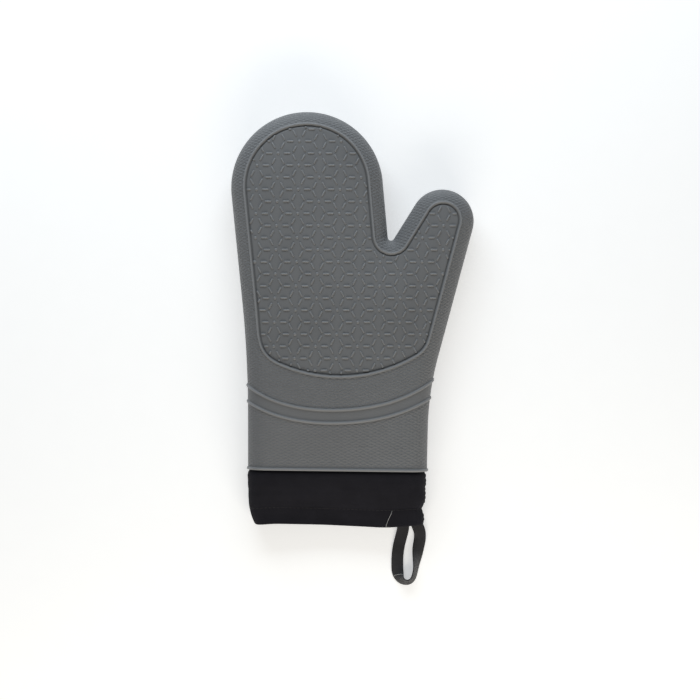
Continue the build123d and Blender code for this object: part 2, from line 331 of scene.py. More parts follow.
def mould(plan):
    """The moulded height of the shell over its plain face, where the fine knurl lies, and a mask for the
    painted highlight on bead crests and the painted shade in the groove inside the panel bead.
    """
    s = sizes()
    line, _, _ = nearest(plan, PANEL_LINE)
    within = np.where(inside(plan, PANEL), line, -line)
    high = ridge(np.abs(within - s.bead / 2), s.bead)
    knurl = 1 - smoothstep(within / (s.bead / 2))
    for rib in RIBS:
        gap, _, _ = nearest(plan, rib)
        high = np.maximum(high, ridge(gap, s.bead))
        knurl = np.minimum(knurl, smoothstep((gap - s.bead / 2) / (0.6 * MM)))
    hem = np.abs(plan[:, 1] - s.bead / 2)
    high = np.maximum(high, ridge(hem, s.bead))
    knurl = np.minimum(knurl, smoothstep((plan[:, 1] - s.bead) / (0.6 * MM)))
    upper = np.interp(plan[:, 0], RIBS[0][:, 0], RIBS[0][:, 1])
    lower = np.interp(plan[:, 0], RIBS[1][:, 0], RIBS[1][:, 1])
    knurl = np.where((plan[:, 1] < upper) & (plan[:, 1] > lower), knurl * 0.3, knurl)
    groove = 0.6 * MM * ridge(np.abs(within - s.bead - 0.45 * MM), 1.5 * MM)
    sunk = s.recess * smoothstep((within - s.bead / 2) / (s.bead / 2)) + groove
    # crest is 1 on the bead and rib crests and negative in the groove inside the panel bead: the mask for a
    # painted highlight and a painted shade in the silicone's colour.
    crest = high - ridge(np.abs(within - s.bead - 0.45 * MM), 1.5 * MM)
    return s.crest * high - sunk, knurl, crest


def plan_mesh(low, spacing, detailed):
    """A triangle mesh of the flat drawing above a low line, with edges along every moulded line."""
    radius = sizes().shoulder
    rim = [radius * (1 - math.cos(math.radians(a))) for a in (0, 7, 15, 24, 34, 45, 56, 67, 78, 90)]
    edge = EDGE if detailed else resample(EDGE, 3.0 * MM)
    lines = [offset_line(edge, depth) for depth in rim]
    lines.append(np.array([(-0.1, low), (0.13, low)]))
    if detailed:
        bead = sizes().bead
        for share in (-0.25, 0, 0.1, 0.25, 0.5, 0.75, 0.9, 1.0, 1.25, 1.6):
            loop = offset_line(PANEL, share * bead, closed=True)
            lines.append(np.vstack((loop, loop[:1])))
        for rib in RIBS:
            shares = (-0.8, -0.5, -0.4, -0.25, 0, 0.25, 0.4, 0.5, 0.8)
            lines += [offset_line(rib, share * bead) for share in shares]
        for share in (0.1, 0.25, 0.5, 0.75, 0.9, 1.0, 1.3):
            across = np.linspace(-90 * MM, 90 * MM, 90)
            lines.append(np.column_stack((across, np.full(90, low + share * bead))))
    grid = np.array([((i + 0.5 * (j % 2)) * spacing, j * spacing * 0.866)
                     for i in range(-40, 50) for j in range(-1, 130)])
    grid = grid[(grid[:, 0] > -90 * MM) & (grid[:, 0] < 112 * MM) & (grid[:, 1] < 290 * MM)]
    depth, _, _ = nearest(grid, EDGE)
    clear = inside(grid, EDGE) & (depth > radius + 0.4 * spacing) & (grid[:, 1] > low + 0.6 * spacing)
    if detailed:
        for line, reach in [(PANEL_LINE, 4 * MM)] + [(rib, 2.6 * MM) for rib in RIBS]:
            clear &= nearest(grid, line)[0] > reach
        clear &= grid[:, 1] > low + 4 * MM
    points, edges = list(grid[clear]), []
    for line in lines:
        keep = line[:, 1] > low - 6 * MM
        first = len(points)
        points += list(line[keep])
        edges += [(first + i, first + i + 1) for i in range(keep.sum() - 1)]
    result = geometry.delaunay_2d_cdt([Vector(p) for p in points], edges, [], 0, 1e-6, False)
    spots = np.array([tuple(v) for v in result[0]])
    bm = bmesh.new()
    verts = [bm.verts.new((x, y, 0)) for x, y in spots]
    for triangle in result[2]:
        bm.faces.new([verts[i] for i in triangle])
    middles = np.array([tuple(f.calc_center_median())[:2] for f in bm.faces])
    depth = nearest(middles, EDGE)[0]
    outside = ~inside(middles, EDGE) | (middles[:, 1] < low) | (depth < 0.02 * MM)
    bmesh.ops.delete(bm, geom=[f for f, out in zip(list(bm.faces), outside) if out], context="FACES")
    return bm


def set_heights(bm, places):
    """Moves every vertex to its worked-out place."""
    for vert, place in zip(bm.verts, places):
        vert.co = place


def flat_places(bm):
    """The flat drawing's coordinates of every vertex."""
    return np.array([(v.co.x, v.co.y) for v in bm.verts])


def store_uv(bm, unrolled):
    """Keeps each vertex's unrolled place on the cloth or rubber, in metres, as the piece's UV map."""
    layer = bm.loops.layers.uv.new("unrolled")
    for face in bm.faces:
        for loop in face.loops:
            loop[layer].uv = unrolled[loop.vert.index]


def finish_mesh(bm, name, body, material, nodes=()):
    """Turns a bmesh in the drawing's place into a finished piece, riding on a body if one is named."""
    for vert in bm.verts:
        vert.co.y -= HEM_TILT * vert.co.x * math.exp(-(vert.co.y / (28 * MM)) ** 2)
    bmesh.ops.transform(bm, matrix=Matrix.Translation(ORIGIN), verts=bm.verts)
    for face in bm.faces:
        face.smooth = True
    mesh = bpy.data.meshes.new(name)
    bm.to_mesh(mesh)
    bm.free()
    piece = bpy.data.objects.new(name, mesh)
    bpy.context.scene.collection.objects.link(piece)
    mesh.materials.append(material)
    if body:
        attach(piece, body)
    if nodes:
        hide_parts(*nodes)
    return piece


def thicken(piece, thickness, offset, group=""):
    """Gives a surface its wall."""
    wall = piece.modifiers.new("wall", "SOLIDIFY")
    wall.thickness = thickness
    wall.offset = offset
    wall.use_rim = True
    if group:
        wall.vertex_group = group
        wall.thickness_vertex_group = 0.0


# ------------------------------------------------------------------- materials
class Value:
    """A shader socket that can be used in Python arithmetic."""

    def __init__(self, shader, socket):
        self.shader, self.socket = shader, socket

    def math(self, operation, *others):
        return self.shader.node("ShaderNodeMath", {"operation": operation}, self, *others)

    def __add__(self, other): return self.math("ADD", other)
    __radd__ = __add__
    def __sub__(self, other): return self.math("SUBTRACT", other)
    def __rsub__(self, other):
        return self.shader.node("ShaderNodeMath", {"operation": "SUBTRACT"}, other, self)

    def __mul__(self, other): return self.math("MULTIPLY", other)
    __rmul__ = __mul__
    def __truediv__(self, other): return self.math("DIVIDE", other)


class Shader:
    """A node material built from Python expressions."""

    def __init__(self, name):
        self.material = bpy.data.materials.new(name)
        self.material.use_nodes = True
        self.tree = self.material.node_tree
        self.tree.nodes.clear()
        self.output = self.tree.nodes.new("ShaderNodeOutputMaterial")
        self.main = self.tree.nodes.new("ShaderNodeBsdfPrincipled")
        self.tree.links.new(self.main.outputs[0], self.output.inputs[0])

    def plug(self, socket, value):
        """Links a value to a socket, or sets it."""
        if isinstance(value, Value):
            self.tree.links.new(value.socket, socket)
        else:
            socket.default_value = value

    def node(self, kind, settings=None, *values, out=0, **named):
        """Adds a node: its settings first, then the values or links of its sockets."""
        node = self.tree.nodes.new(kind)
        for key, value in (settings or {}).items():
            setattr(node, key, value)
        for index, value in enumerate(values):
            self.plug(node.inputs[index], value)
        for key, value in named.items():
            self.plug(node.inputs[key.replace("_", " ")], value)
        return Value(self, node.outputs[out])

    def place(self):
        """The surface's own coordinates in metres."""
        return self.node("ShaderNodeTexCoord", out=3)

    def unrolled(self):
        """The piece's own UV map, which is in metres."""
        return self.node("ShaderNodeUVMap", {"uv_map": "unrolled"})

    def parts(self, vector):
        """The X, Y and Z of a vector."""
        split = self.node("ShaderNodeSeparateXYZ", None, vector)
        return [Value(self, output) for output in split.socket.node.outputs]

    def noise(self, vector, scale, detail=3.0, rough=0.5):
        """Soft noise from 0 to 1."""
        named = {"Vector": vector, "Scale": scale, "Detail": detail, "Roughness": rough}
        return self.node("ShaderNodeTexNoise", None, **named)

    def ramp(self, value, low, high, to_low=0.0, to_high=1.0):
        """A value moved from one range to another, and kept inside it."""
        return self.node("ShaderNodeMapRange", {"clamp": True}, value, low, high, to_low, to_high)

    def mix(self, share, one, two):
        """A colour between two colours."""
        node = self.tree.nodes.new("ShaderNodeMix")
        node.data_type = "RGBA"
        for index, value in ((0, share), (6, one), (7, two)):
            self.plug(node.inputs[index], value)
        return Value(self, node.outputs[2])

    def bump(self, height, distance, strength=1.0, normal=None):
        """A bump, on top of another one if given."""
        named = {"Height": height, "Distance": distance, "Strength": strength}
        if normal:
            named["Normal"] = normal
        return self.node("ShaderNodeBump", None, **named)

    def finish(self, **named):
        """Sets the main shader's sockets and returns the material."""
        for key, value in named.items():
            self.plug(self.main.inputs[key.replace("_", " ")], value)
        return self.material


def shade(colour, factor):
    """A colour made lighter or darker."""
    return tuple(c * factor for c in colour[:3]) + (1.0,)


def triangle_wave(value):
    """A value folded to 0 at whole numbers and 1 half way between them."""
    return value.math("PINGPONG", 0.5) * 2


def silicone_material(name):
    """Satin moulded silicone with a fine diamond knurl on its border and wrist."""
    colour = bpy.context.scene.mitt_colours.silicone
    m = Shader(name)
    place = m.place()
    u, v, _ = m.parts(m.unrolled())
    pitch, lean = 2.4 * MM, math.radians(24)
    rise, run = math.cos(lean) / pitch, math.sin(lean) / pitch
    one = triangle_wave(v * rise + u * run)
    two = triangle_wave(v * rise - u * run)
    diamond = one.math("MINIMUM", two)
    mask = m.node("ShaderNodeAttribute", {"attribute_name": "knurl"}, out=2)
    # The crest attribute is the mask for a painted highlight on bead crests and a painted shade in the
    # groove.
    crest = m.node("ShaderNodeAttribute", {"attribute_name": "crest"}, out=2)
    grain = m.noise(place, 1500.0, 2.0)
    patch = m.noise(place, 14.0, 4.0, 0.6)
    dust = m.ramp(m.noise(place, 420.0, 3.0, 0.7), 0.66, 0.78)
    body = m.mix(m.ramp(patch, 0.3, 0.7), shade(colour, 0.94), shade(colour, 1.07))
    # Painted highlight: bead and rib crests are lightened in the colour.
    painted_crest_highlight = m.mix(m.ramp(crest, 0.35, 0.95), body, shade(colour, 1.45))
    # Painted shade: the groove inside the panel bead is darkened in the colour.
    painted_groove_shade = m.mix(m.ramp(crest, -0.2, -0.9), painted_crest_highlight, shade(colour, 0.62))
    worn = m.mix(dust * 0.20, painted_groove_shade, shade(colour, 2.0))
    fine = m.bump(grain, 0.05 * MM, 0.5)
    raised = m.bump(m.ramp(diamond, 0.05, 0.85) * mask, 0.36 * MM, 1.0, fine)
    rough = m.ramp(patch, 0.25, 0.75, 0.48, 0.58) + dust * 0.15 - m.ramp(crest, 0.3, 1.0) * 0.10
    m.finish(Base_Color=worn, Roughness=rough, Normal=raised, Specular_IOR_Level=0.30)
    return m.material


def plain_silicone_material(name, factor=1.0):
    """The same silicone without the knurl, painted lighter than the shell: a painted highlight on the raised
    details.
    """
    colour = bpy.context.scene.mitt_colours.silicone
    m = Shader(name)
    place = m.place()
    patch = m.noise(place, 14.0, 4.0, 0.6)
    # Painted highlight: the tone is lighter than the shell's silicone to stand in for light on the raised
    # relief.
    body = m.mix(m.ramp(patch, 0.3, 0.7), shade(colour, 1.28 * factor), shade(colour, 1.42 * factor))
    fine = m.bump(m.noise(place, 1500.0, 2.0), 0.05 * MM, 0.5)
    rough = m.ramp(patch, 0.25, 0.75, 0.38, 0.46)
    m.finish(Base_Color=body, Roughness=rough, Normal=fine, Specular_IOR_Level=0.30)
    return m.material


def woven_material(name, colour, warp=0.62, weft=0.70, sheen=0.02, depth=0.16):
    """Woven cloth: over-and-under yarns on the piece's own unrolled map."""
    m = Shader(name)
    u, v, _ = m.parts(m.unrolled())
    across, along = u / (warp * MM), v / (weft * MM)
    over = m.ramp(triangle_wave((across + along) * 0.5), 0.35, 0.65)
    warp_yarn = triangle_wave(across).math("POWER", 0.6)
    weft_yarn = triangle_wave(along).math("POWER", 0.6)
    height = over * warp_yarn + (1 - over) * weft_yarn
    fibres = m.noise(m.place(), 2600.0, 3.0, 0.7)
    mottle = m.noise(m.place(), 38.0, 4.0, 0.65)
    lint = m.ramp(m.noise(m.place(), 900.0, 2.0, 0.6), 0.70, 0.80)
    light = m.mix(m.ramp(mottle, 0.3, 0.7), shade(colour, 0.85), shade(colour, 1.25))
    # Painted shade: the weave's hollows are darkened in the colour, following the bump's height.
    yarns = m.mix(m.ramp(height + fibres * 0.4, 0.3, 1.2), shade(colour, 0.55), light)
    faded = m.mix(lint * 0.15, yarns, shade(colour, 2.5))
    normal = m.bump(height + fibres * 0.35, depth * MM, 0.9)
    m.main.inputs["Sheen Weight"].default_value = sheen
    m.main.inputs["Sheen Roughness"].default_value = 0.45
    m.finish(Base_Color=faded, Roughness=0.92, Normal=normal, Specular_IOR_Level=0.10)
    return m.material


def thread_material(name, colour):
    """Twisted sewing thread."""
    m = Shader(name)
    place = m.place()
    twist = m.node("ShaderNodeTexWave", {"bands_direction": "DIAGONAL"}, Vector=place, Scale=1400.0)
    # Painted light and shade: the thread is lighter on its twist's ridges and darker in its grooves,
    # following the bump.
    tone = m.mix(twist, shade(colour, 0.7), shade(colour, 1.3))
    m.finish(Base_Color=tone, Roughness=0.6, Normal=m.bump(twist, 0.05 * MM), Specular_IOR_Level=0.35)
    return m.material


def cached(name, maker, *values):
    """A finish is made once and shared."""
    name = "mitt_" + name
    return bpy.data.materials.get(name) or maker(name, *values)


def sewing_thread():
    """The finish of all sewing."""
    return cached("thread", thread_material, bpy.context.scene.mitt_colours.thread)


def pale_thread():
    """The finish of the loose thread ends."""
    return cached("loose_thread", thread_material, bpy.context.scene.mitt_colours.loose_thread)


# ---------------------------------------------------------------------- pieces
class MITT_OT_shell(bpy.types.Operator):
    """Moulds the silicone shell with its outline beads, wrist ribs and hem"""
    bl_idname = "mitt.shell"
    bl_label = "Silicone shell"

    def execute(self, context):
        bm = plan_mesh(0.0, FIELD_SPACING, True)
        plan = flat_places(bm)
        height, knurl, crest = mould(plan)
        places, unrolled = skin(plan, height, 1)
        bm.verts.index_update()
        # The crest layer carries the mask for the painted crest highlight and the painted groove shade.
        names = ("knurl", "crest", "flat_back")
        for name in names:
            bm.verts.layers.float.new(name)
        layers = [bm.verts.layers.float[name] for name in names]
        backs, _ = skin(plan, height, -1)
        for vert, *values in zip(bm.verts, knurl, crest, places[:, 2] + backs[:, 2]):
            for layer, value in zip(layers, values):
                vert[layer] = value
        store_uv(bm, unrolled)
        set_heights(bm, places)
        rim = [e for e in bm.edges if e.is_boundary and min(v.co.y for v in e.verts) > -1e-7
               and max(v.co.z for v in e.verts) < HALF_THICKNESS - sizes().shoulder + 0.3 * MM]
        walls = bmesh.ops.extrude_edge_only(bm, edges=rim)
        for vert in (g for g in walls["geom"] if isinstance(g, bmesh.types.BMVert)):
            vert.co.z = 0.0
        bmesh.ops.mirror(bm, geom=bm.verts[:] + bm.edges[:] + bm.faces[:], matrix=Matrix.Identity(4),
                         merge_dist=1e-5, axis="Z")
        back = bm.verts.layers.float["flat_back"]
        for vert in bm.verts:
            if vert.co.z < -1e-6:
                vert.co.z += vert[back]
        bmesh.ops.recalc_face_normals(bm, faces=bm.faces)
        material = cached("silicone", silicone_material)
        piece = finish_mesh(bm, "silicone_shell_skin", "mitt", material, ["silicone_shell"])
        thicken(piece, sizes().wall, -1.0)
        return {"FINISHED"}


def ring(bm, sides, radius, matrix):
    """A ring of points: its vertices and its edges."""
    verts = bmesh.ops.create_circle(bm, cap_ends=False, segments=sides, radius=radius, matrix=matrix)["verts"]
    return verts, list({e for v in verts for e in v.link_edges})


def join_rings(bm, rings, ends):
    """Bridges a row of rings, and closes those that are ends."""
    for one, two in zip(rings, rings[1:]):
        bmesh.ops.bridge_loops(bm, edges=one + two)
    for edges in ends:
        bmesh.ops.contextual_create(bm, geom=edges)


def stud(length, width, height):
    """A raised dash, or a dot where its length is its width: a rounded bar with flared feet."""
    bm = bmesh.new()
    sides, straight = 12, (length - width) / 2
    rings = []
    for scale, level in ((1.34, -0.25), (1.04, 0.10), (0.82, 0.62), (0.40, 0.96)):
        turn = Matrix.Translation((0, 0, level * height)) @ Matrix.Rotation(math.pi / sides, 4, "Z")
        verts, edges = ring(bm, sides, width / 2 * scale, turn)
        for vert in verts:
            vert.co.x += math.copysign(straight, vert.co.x)
        rings.append(edges)
    join_rings(bm, rings, rings[-1:])
    return baked(bm, "stud")


def baked(bm, name):
    """A small mesh to repeat, with its faces turned outward."""
    bmesh.ops.recalc_face_normals(bm, faces=bm.faces)
    mesh = bpy.data.meshes.new(name)
    bm.to_mesh(mesh)
    bm.free()
    return mesh


def stamp(bm, mesh, x, y, angle, stretch=1.0):
    """Adds a copy of a small mesh at a place on the flat drawing."""
    first = len(bm.verts)
    bm.from_mesh(mesh)
    bm.verts.ensure_lookup_table()
    turn = Matrix.Rotation(angle, 4, "Z") @ Matrix.Diagonal((stretch, 1, 1, 1))
    bmesh.ops.transform(bm, matrix=Matrix.Translation((x, y, 0)) @ turn, verts=bm.verts[first:])


def star_places():
    """The middles of the stars: a triangular lattice with upright columns that lean a little."""
    pitch, lean = sizes().node_pitch, 0.023
    start = np.array((0.8, 165.0)) * MM
    column, row = np.meshgrid(np.arange(-6, 8), np.arange(-8, 9))
    x = start[0] + column * pitch * math.sqrt(3) / 2
    y = start[1] + (row + 0.5 * (column % 2)) * pitch
    return np.column_stack(((x + lean * (y - start[1])).ravel(), y.ravel()))


def relief_plan():
    """All dashes and dots of one face, laid out flat and cut off where they meet the bead."""
    s = sizes()
    limit = s.bead + 0.9 * MM
    length, offset = 5.4 * MM, 7.1 * MM
    dash, dot = stud(length, 1.45 * MM, s.relief), stud(2.4 * MM, 2.4 * MM, s.relief * 1.1)
    bm = bmesh.new()
    nodes = star_places()
    for x, y in nodes[clear_of_bead(nodes, limit + 0.3 * MM)]:
        stamp(bm, dot, x, y, 0)
    angles = np.radians(np.arange(0, 360, 60))
    ways = np.column_stack((np.cos(angles), np.sin(angles)))
    shares = np.linspace(-0.5, 0.5, 15)
    lines = nodes[:, None, None] + ways[:, None] * (offset + shares[:, None] * length)
    clear = clear_of_bead(lines.reshape(-1, 2), limit).reshape(lines.shape[:3])
    for node, turn in zip(*np.nonzero(clear.sum(2) > 3)):
        x, y = lines[node, turn, clear[node, turn]].mean(0)
        stamp(bm, dash, x, y, angles[turn], clear[node, turn].mean())
    return bm


def clear_of_bead(points, limit):
    """Which points lie inside a field and far enough from its bead."""
    return inside(points, PANEL) & (nearest(points, PANEL_LINE)[0] > limit)


class MITT_OT_relief(bpy.types.Operator):
    """Raises the star pattern of dashes and dots on both fields"""
    bl_idname = "mitt.relief"
    bl_label = "Grip relief"

    def execute(self, context):
        # The relief gets a lighter copy of the silicone, a painted highlight.
        material = cached("silicone_relief", plain_silicone_material)
        for name, side in (("palm", 1), ("back", -1)):
            bm = relief_plan()
            plan = flat_places(bm)
            lift = np.array([v.co.z for v in bm.verts]) - sizes().recess
            set_heights(bm, skin(plan, lift, side)[0])
            bmesh.ops.recalc_face_normals(bm, faces=bm.faces)
            finish_mesh(bm, "grip_relief_" + name, "mitt", material)
        return {"FINISHED"}


# The cuff's edges in plan, in millimetres below the hem: left edge, right edge and the depth of its mouth.
CUFF_LEFT = ((0, -71.2), (6, -71.6), (18, -71.4), (26, -71.0), (32, -70.3), (38, -69.0), (42, -67.4),
             (46, -65.0))
CUFF_RIGHT = ((0, 70.4), (5, 69.9), (9, 70.5), (14, 69.8), (19, 70.4), (24, 69.9), (29, 69.0), (32, 67.2),
              (36, 68.8), (41, 69.3), (46, 68.4))
CUFF_MOUTH = ((-72, 44.0), (-65, 43.8), (-51, 42.7), (-13, 43.6), (38, 45.9), (56, 44.6), (72, 43.2))

# Each of these is smoothed once and kept.
CURVES = {}


def curve_value(points, at):
    """A smooth value read along a few points."""
    if points not in CURVES:
        x, y = np.array(points, float).T
        fine = np.linspace(x[0], x[-1], 120)
        padded = np.pad(np.interp(fine, x, y), 5, mode="edge")
        CURVES[points] = fine, np.convolve(padded, np.ones(11) / 11, "valid")
    return np.interp(at, *CURVES[points])


def rounded_box(share, half_width, half_height, radius):
    """A point and its outward way on a rounded oblong, by its share of the way round."""
    straight_x, straight_z = 2 * (half_width - radius), 2 * (half_height - radius)
    quarter = math.pi / 2 * radius
    total = 2 * straight_x + 2 * straight_z + 4 * quarter
    at = share % 1.0 * total
    runs = ((straight_z / 2, (1, 0), (0, 1)), (quarter, 0, 0), (straight_x, (0, 1), (-1, 0)),
            (quarter, 90, 0), (straight_z, (-1, 0), (0, -1)), (quarter, 180, 0),
            (straight_x, (0, -1), (1, 0)), (quarter, 270, 0), (straight_z / 2, (1, 0), (0, 1)))
    x, z = half_width, 0.0
    for length, normal, along in runs:
        step = min(at, length)
        if isinstance(normal, tuple):
            x, z = x + along[0] * step, z + along[1] * step
            way = normal
        else:
            turn = math.radians(normal) + step / radius
            start = math.radians(normal)
            x += radius * (math.cos(turn) - math.cos(start))
            z += radius * (math.sin(turn) - math.sin(start))
            way = (math.cos(turn), math.sin(turn))
        at -= step
        if at <= 1e-12:
            break
    return x, z, way, total


def cuff_point(share, down, inset):
    """A point of the cuff: its share of the way round, its depth below the hem and how far in it lies."""
    depth = down / MM
    settle = float(smoothstep(max(depth, 0) / (CUFF_DEPTH / MM)))
    left, right = curve_value(CUFF_LEFT, max(depth, 0)) * MM, curve_value(CUFF_RIGHT, max(depth, 0)) * MM
    half_width = (right - left) / 2 - inset
    stand = (CUFF_HALF_HEIGHT - CUFF_SETTLE * settle) * MM
    half_height = stand - inset
    radius = (CUFF_CORNER - CUFF_CORNER_SETTLE * settle) * MM - inset
    x, z, way, around = rounded_box(share, half_width, half_height, max(radius, 0.5 * MM))
    middle = FLOOR + 0.45 * MM + stand
    middle += (1 - settle) ** 2 * (0.9 - 0.05) * MM
    level = (x / max(half_width, 1e-6)) ** 2
    if z > 0:
        z -= 3.2 * MM * settle * (1 - level) * (1 - level)
    x += (left + right) / 2
    mouth = float(curve_value(CUFF_MOUTH, x / MM)) * MM
    y = -down * (mouth / CUFF_DEPTH) if down > 0 else -down
    loose = float(smoothstep(depth / 8)) * (1 if z > FLOOR + 3 * MM else 0.25)
    fold = noise.noise(Vector((x * 34, y * 60, z * 18 + 7)))
    crease = noise.noise(Vector((x * 12 + 3, y * 190, z * 12)))
    pucker = math.exp(-((depth - HEM_SEAM) / 2.2) ** 2)
    ripple = math.sin(share * 2 * math.pi * 96) * pucker * 0.12
    drawn_in = 0.38 * pucker * (inset < 0.8 * MM)
    shift = (0.55 * fold + 0.35 * crease) * loose * MM + (ripple - drawn_in) * MM
    return Vector((x + way[0] * shift, y, middle + z + way[1] * shift)), around


def cuff_path():
    """The cloth's way from inside the shell, down to the mouth and up inside as its hem: depth and inset."""
    path = [(-12.0, 2.9), (-8.0, 2.9), (-4.0, 2.8), (-1.5, 2.6), (-0.3, 2.1)]
    path += [(0.5, 1.2), (1.4, 0.55), (2.6, 0.2)]
    path += [(float(d), 0.0) for d in np.arange(4.0, 44.0, 1.1)]
    path += [(44.2, 0.06), (44.7, 0.35), (44.9, 0.85), (44.7, 1.35), (44.2, 1.65)]
    path += [(float(d), 1.75) for d in np.arange(43.0, 31.0, -1.5)]
    return [(depth * MM, inset * MM) for depth, inset in path]


def facing_out(face):
    """How much a face of the cuff looks away from its middle, or nothing near the mouth."""
    middle = face.calc_center_median()
    return face.normal.dot(middle - Vector((0, middle.y, -7 * MM))) if middle.y > -40 * MM else 0.0


class MITT_OT_cuff(bpy.types.Operator):
    """Sews the woven cuff: a limp sleeve that settles towards its mouth, with its hem turned up inside"""
    bl_idname = "mitt.cuff"
    bl_label = "Woven cuff"

    def execute(self, context):
        path = cuff_path()
        around = 300
        bm = bmesh.new()
        bmesh.ops.create_grid(bm, x_segments=around, y_segments=len(path) - 1, size=0.5)
        bm.verts.index_update()
        unrolled, lengths = {}, run_lengths(np.array(path))
        for vert in bm.verts:
            share = vert.co.x + 0.5
            row = round((vert.co.y + 0.5) * (len(path) - 1))
            vert.co = cuff_point(share, *path[row])[0]
            unrolled[vert.index] = (share * WEAVE_ROUND, -lengths[row])
        store_uv(bm, unrolled)
        bmesh.ops.remove_doubles(bm, verts=bm.verts, dist=1e-6)
        bmesh.ops.recalc_face_normals(bm, faces=bm.faces)
        if sum(facing_out(face) for face in bm.faces) < 0:
            bmesh.ops.reverse_faces(bm, faces=bm.faces)
        colour = context.scene.mitt_colours.cloth
        material = cached("cuff_cloth", woven_material, colour)
        piece = finish_mesh(bm, "cuff_sleeve_cloth", "mitt", material, ["cuff_sleeve"])
        thicken(piece, sizes().cloth, -1.0)
        return {"FINISHED"}


def capsule(length, radius):
    """One small stitch lying along X, bent down into the cloth at both ends."""
    bm = bmesh.new()
    rings = []
    bend = ((-0.5, 0.45, 1.3), (-0.36, 0.95, 0.35), (0, 1.0, 0), (0.36, 0.95, 0.35), (0.5, 0.45, 1.3))
    for share, scale, drop in bend:
        matrix = (Matrix.Translation((share * length, 0, -drop * radius))
                  @ Matrix.Rotation(math.pi / 2, 4, "Y") @ Matrix.Scale(scale, 4))
        rings.append(ring(bm, 6, radius, matrix)[1])
    join_rings(bm, rings, (rings[0], rings[-1]))
    return baked(bm, "stitch")


def sew(bm, stitch, point, along, out):
    """Adds a stitch at a point, lying along one way and standing out another."""
    along = along.normalized()
    side = out.cross(along).normalized()
    out = along.cross(side)
    first = len(bm.verts)
    bm.from_mesh(stitch)
    bm.verts.ensure_lookup_table()
    turn = Matrix((along, side, out)).transposed().to_4x4()
    bmesh.ops.transform(bm, matrix=Matrix.Translation(point) @ turn, verts=bm.verts[first:])


class MITT_OT_stitches(bpy.types.Operator):
    """Sews the hem and the side seam, and leaves a pale thread end"""
    bl_idname = "mitt.stitches"
    bl_label = "Stitching"

    def execute(self, context):
        thread = sewing_thread()
        stitch = capsule(2.7 * MM, 0.24 * MM)
        bm = bmesh.new()
        count, seam = 92, HEM_SEAM * MM
        for step in range(count):
            share = step / count
            point = cuff_point(share, seam, 0)[0]
            along = cuff_point(share + 0.002, seam, 0)[0] - cuff_point(share - 0.002, seam, 0)[0]
            inner = cuff_point(share, seam, 1.0 * MM)[0]
            sew(bm, stitch, point + (point - inner).normalized() * 0.12 * MM, along, point - inner)
        finish_mesh(bm, "cuff_hem_stitches", "mitt", thread, ["cuff_hem_stitching"])
        bm = bmesh.new()
        for step in range(1, 12):
            share, down = 0.004, step * 3.7 * MM
            point = cuff_point(share, down, 0)[0]
            along = cuff_point(share, down + 1 * MM, 0)[0] - cuff_point(share, down - 1 * MM, 0)[0]
            sew(bm, stitch, point + Vector((0.1 * MM, 0, 0)), along, Vector((1, 0, 0)))
        finish_mesh(bm, "cuff_seam_stitches", "mitt", thread, ["cuff_seam_stitching"])
        self.loose_end()
        return {"FINISHED"}

    def loose_end(self):
        """The pale end of the hem thread, lying down the cuff to its edge."""
        points = []
        for x, down in ((43.4, 31.5), (42.6, 34.2), (41.2, 37.0), (39.9, 40.0), (39.0, 42.6), (38.5, 44.9)):
            share = 0.25
            for _ in range(4):
                place, around = cuff_point(share, down * MM, 0)
                share += (place.x - x * MM) / around
            points.append(place + Vector((0, 0, 0.22 * MM)))
        finish_mesh(thread_run(points, 0.2 * MM), "loose_thread_end", "mitt", pale_thread())


def thread_run(points, radius):
    """A thread through a row of points, six-sided, with closed ends."""
    bm = bmesh.new()
    rings = []
    for before, here, after in zip([points[0]] + points, points, points[1:] + [points[-1]]):
        turn = (after - before).to_track_quat("Z", "Y").to_matrix().to_4x4()
        rings.append(ring(bm, 6, radius, Matrix.Translation(here) @ turn)[1])
    join_rings(bm, rings, (rings[0], rings[-1]))
    bmesh.ops.recalc_face_normals(bm, faces=bm.faces)
    return bm


def quilt_rows():
    """The quilting rows: each is a way and a distance from the drawing's middle."""
    return [(math.radians(45 * slope), (row + 0.5) * sizes().quilt)
            for slope in (1, -1) for row in range(-8, 8)]


QUILT_MIDDLE = (0.0, FINGER_CENTRE[1] / 2)


def quilt_gap(plan):
    """How far each point is from the nearest quilting row."""
    gap = np.full(len(plan), 1.0)
    for angle, distance in quilt_rows():
        across = -math.sin(angle) * plan[:, 0] + math.cos(angle) * (plan[:, 1] - QUILT_MIDDLE[1])
        gap = np.minimum(gap, np.abs(across - distance))
    return gap


LINING_START = 12.6 * MM


def lining_inset(plan):
    """How far the lining's inner face lies inside the shell's outer face: puffed between its rows."""
    start = smoothstep((plan[:, 1] - LINING_START) / (9 * MM))
    puff = 1 - np.exp(-quilt_gap(plan) / (4.5 * MM))
    return (3.6 + start * (1.1 + 1.5 * puff)) * MM


